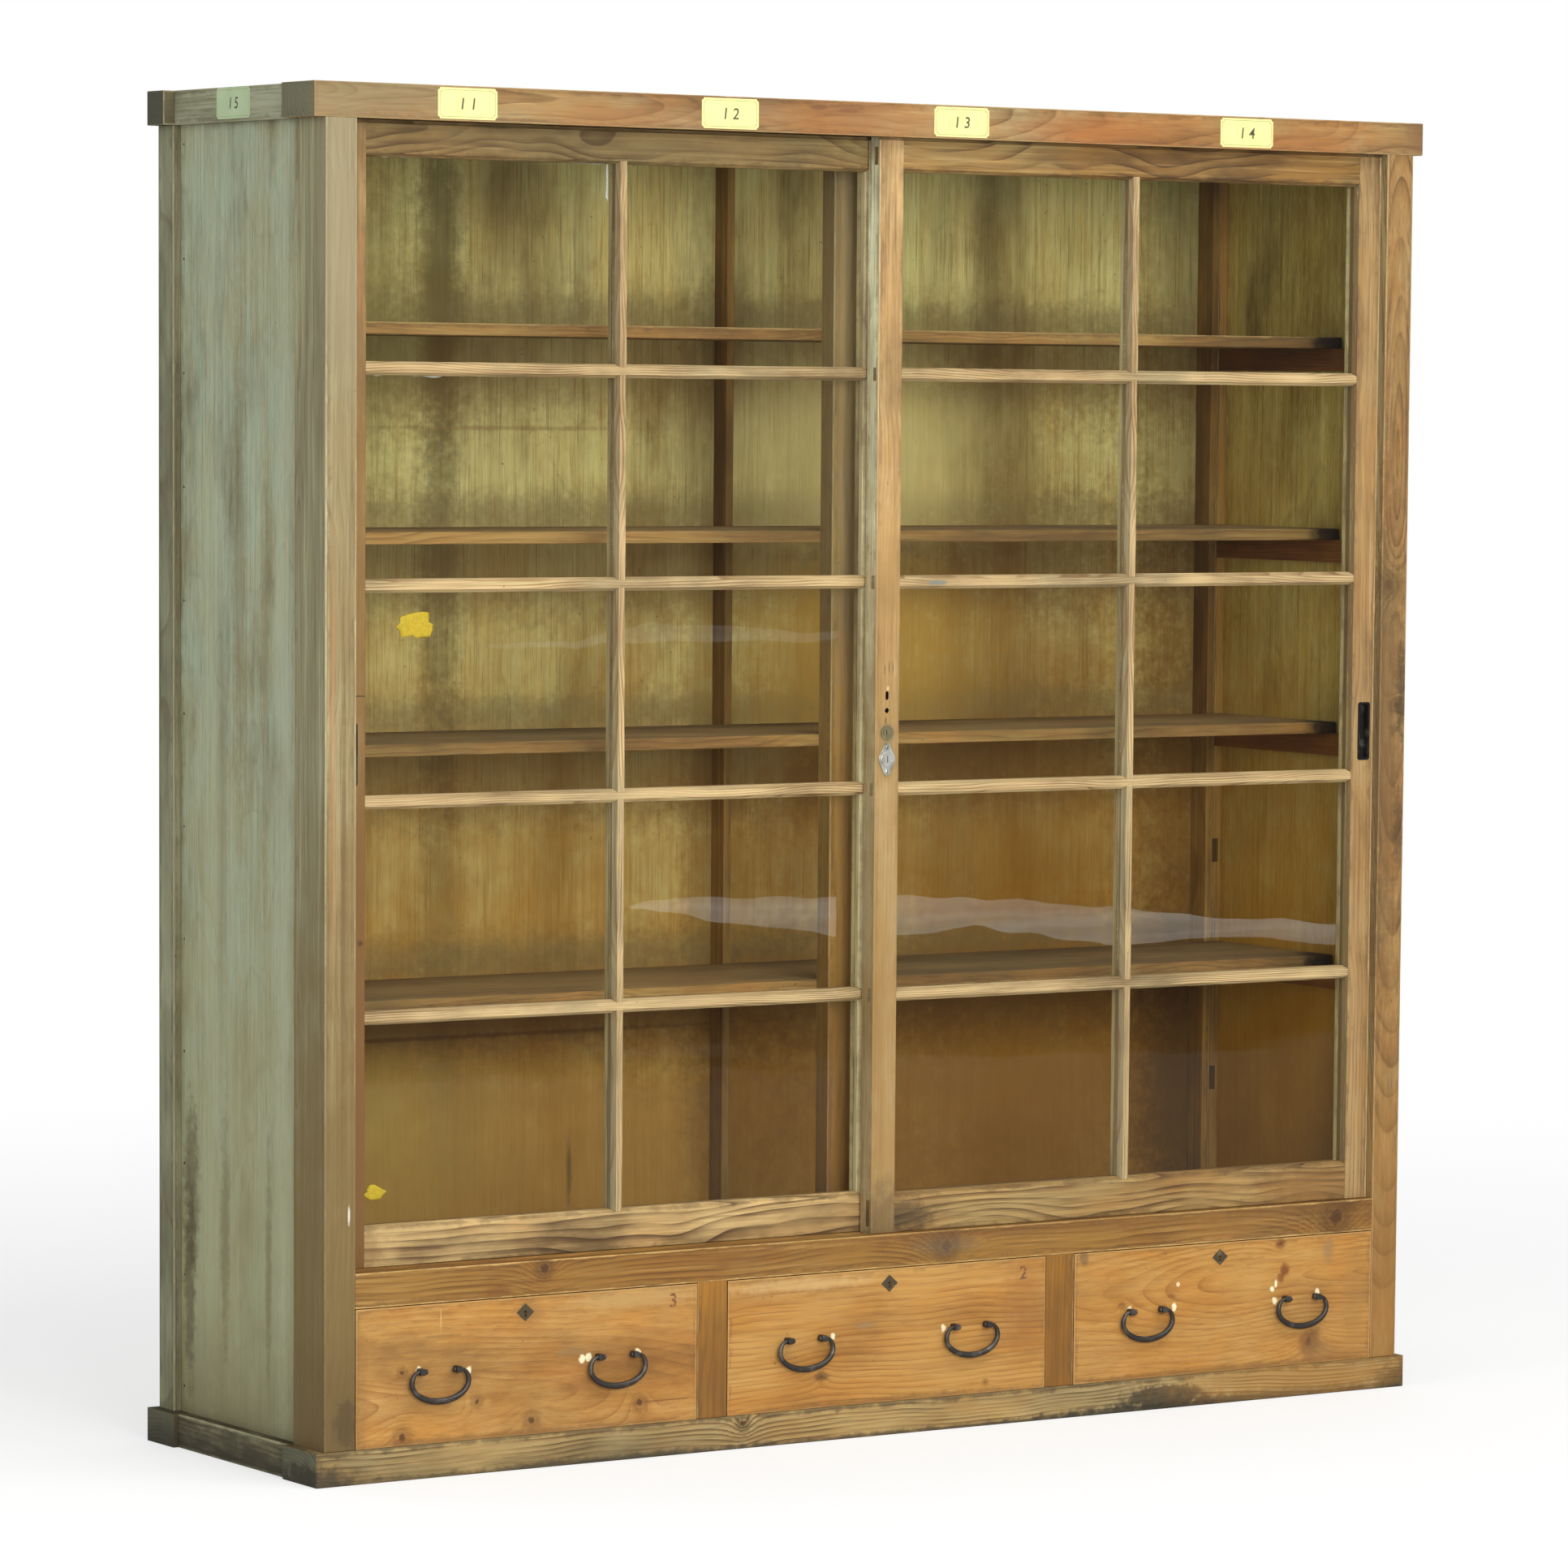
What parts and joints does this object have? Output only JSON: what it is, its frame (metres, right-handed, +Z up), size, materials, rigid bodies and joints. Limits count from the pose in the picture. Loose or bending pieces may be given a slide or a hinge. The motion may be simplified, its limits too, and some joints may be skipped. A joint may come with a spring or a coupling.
{
  "type": "display cabinet",
  "caption": "Softwood display cabinet: glazed sliding doors with moulded muntins over a row of drawers with iron bail pulls.",
  "frame": {"origin": "centre of the base frame's footprint, on the floor, at the underside of its middle cross rail", "axes": "+X to the right as seen by someone who faces the doors, +Y to the back, +Z up"},
  "size_m": [1.777, 0.479, 1.8],
  "materials": {
    "case_wood": "weathered softwood, bare",
    "base_wood": "softwood, dirty and worn",
    "door_wood": "softwood, bare",
    "drawer_wood": "softwood, oiled by handling",
    "plywood": "aged plywood",
    "shelf_wood": "softwood, darkened",
    "pane_glass": "old sheet glass",
    "black_iron": "forged, blackened",
    "lock_steel": "nickel plated",
    "old_steel": "tarnished plate",
    "pull_steel": "blackened pressed steel"
  },
  "bodies": {
    "case": {"back_battens": "case_wood", "back_panels": "plywood", "back_posts": "case_wood", "base_back_rail": "base_wood", "base_front_rail": "base_wood", "base_side_rails": "base_wood", "case_floor": "shelf_wood", "centre_post": "case_wood", "drawer_dividers": "case_wood", "drawer_runners": "shelf_wood", "front_post_left": "case_wood", "front_post_right": "case_wood", "shelf_bearers": "shelf_wood", "shelves": "shelf_wood", "side_panels": "plywood", "top_back_rail": "case_wood", "top_front_rail": "case_wood", "top_panel": "plywood", "top_side_rails": "case_wood", "track_rail": "case_wood"},
    "left_door": {"left_door_beads": "door_wood", "left_door_bottom_rail": "door_wood", "left_door_finger_pull": "pull_steel", "left_door_left_stile": "door_wood", "left_door_muntins": "door_wood", "left_door_panes": "pane_glass", "left_door_right_stile": "door_wood", "left_door_top_rail": "door_wood"},
    "right_door": {"right_door_beads": "door_wood", "right_door_bottom_rail": "door_wood", "right_door_finger_pull": "pull_steel", "right_door_left_stile": "door_wood", "right_door_lock_plate": "lock_steel", "right_door_muntins": "door_wood", "right_door_old_lock": "old_steel", "right_door_panes": "pane_glass", "right_door_right_stile": "door_wood", "right_door_top_rail": "door_wood"},
    "lock_plug": {"right_door_lock_plug": "lock_steel"},
    "left_drawer": {"left_drawer_bail_posts": "black_iron", "left_drawer_bottom": "plywood", "left_drawer_box": "drawer_wood", "left_drawer_front": "drawer_wood", "left_drawer_lock": "black_iron"},
    "left_drawer_left_bail": {"left_drawer_left_bail": "black_iron"},
    "left_drawer_right_bail": {"left_drawer_right_bail": "black_iron"},
    "centre_drawer": {"centre_drawer_bail_posts": "black_iron", "centre_drawer_bottom": "plywood", "centre_drawer_box": "drawer_wood", "centre_drawer_front": "drawer_wood", "centre_drawer_lock": "black_iron"},
    "centre_drawer_left_bail": {"centre_drawer_left_bail": "black_iron"},
    "centre_drawer_right_bail": {"centre_drawer_right_bail": "black_iron"},
    "right_drawer": {"right_drawer_bail_posts": "black_iron", "right_drawer_bottom": "plywood", "right_drawer_box": "drawer_wood", "right_drawer_front": "drawer_wood", "right_drawer_lock": "black_iron"},
    "right_drawer_left_bail": {"right_drawer_left_bail": "black_iron"},
    "right_drawer_right_bail": {"right_drawer_right_bail": "black_iron"}
  },
  "joints": [
    {"name": "left_door_slide", "type": "slide", "parent": "case", "child": "left_door", "axis": [1, 0, 0], "range_m": [0, 0.805]},
    {"name": "right_door_slide", "type": "slide", "parent": "case", "child": "right_door", "axis": [-1, 0, 0], "range_m": [0, 0.805]},
    {"name": "lock_turn", "type": "hinge", "parent": "right_door", "child": "lock_plug", "pos_m": [-0.002, -0.217, 0.9202], "axis": [0, 1, 0], "range_deg": [0, 90]},
    {"name": "left_drawer_slide", "type": "slide", "parent": "case", "child": "left_drawer", "axis": [0, -1, 0], "range_m": [0, 0.3]},
    {"name": "left_drawer_left_bail_swing", "type": "hinge", "parent": "left_drawer", "child": "left_drawer_left_bail", "pos_m": [-0.705, -0.24, 0.141], "axis": [-1, 0, 0], "range_deg": [0, 150]},
    {"name": "left_drawer_right_bail_swing", "type": "hinge", "parent": "left_drawer", "child": "left_drawer_right_bail", "pos_m": [-0.435, -0.24, 0.141], "axis": [-1, 0, 0], "range_deg": [0, 150]},
    {"name": "centre_drawer_slide", "type": "slide", "parent": "case", "child": "centre_drawer", "axis": [0, -1, 0], "range_m": [0, 0.3]},
    {"name": "centre_drawer_left_bail_swing", "type": "hinge", "parent": "centre_drawer", "child": "centre_drawer_left_bail", "pos_m": [-0.138, -0.24, 0.141], "axis": [-1, 0, 0], "range_deg": [0, 150]},
    {"name": "centre_drawer_right_bail_swing", "type": "hinge", "parent": "centre_drawer", "child": "centre_drawer_right_bail", "pos_m": [0.132, -0.24, 0.141], "axis": [-1, 0, 0], "range_deg": [0, 150]},
    {"name": "right_drawer_slide", "type": "slide", "parent": "case", "child": "right_drawer", "axis": [0, -1, 0], "range_m": [0, 0.3]},
    {"name": "right_drawer_left_bail_swing", "type": "hinge", "parent": "right_drawer", "child": "right_drawer_left_bail", "pos_m": [0.429, -0.24, 0.141], "axis": [-1, 0, 0], "range_deg": [0, 150]},
    {"name": "right_drawer_right_bail_swing", "type": "hinge", "parent": "right_drawer", "child": "right_drawer_right_bail", "pos_m": [0.699, -0.24, 0.141], "axis": [-1, 0, 0], "range_deg": [0, 150]}
  ]
}
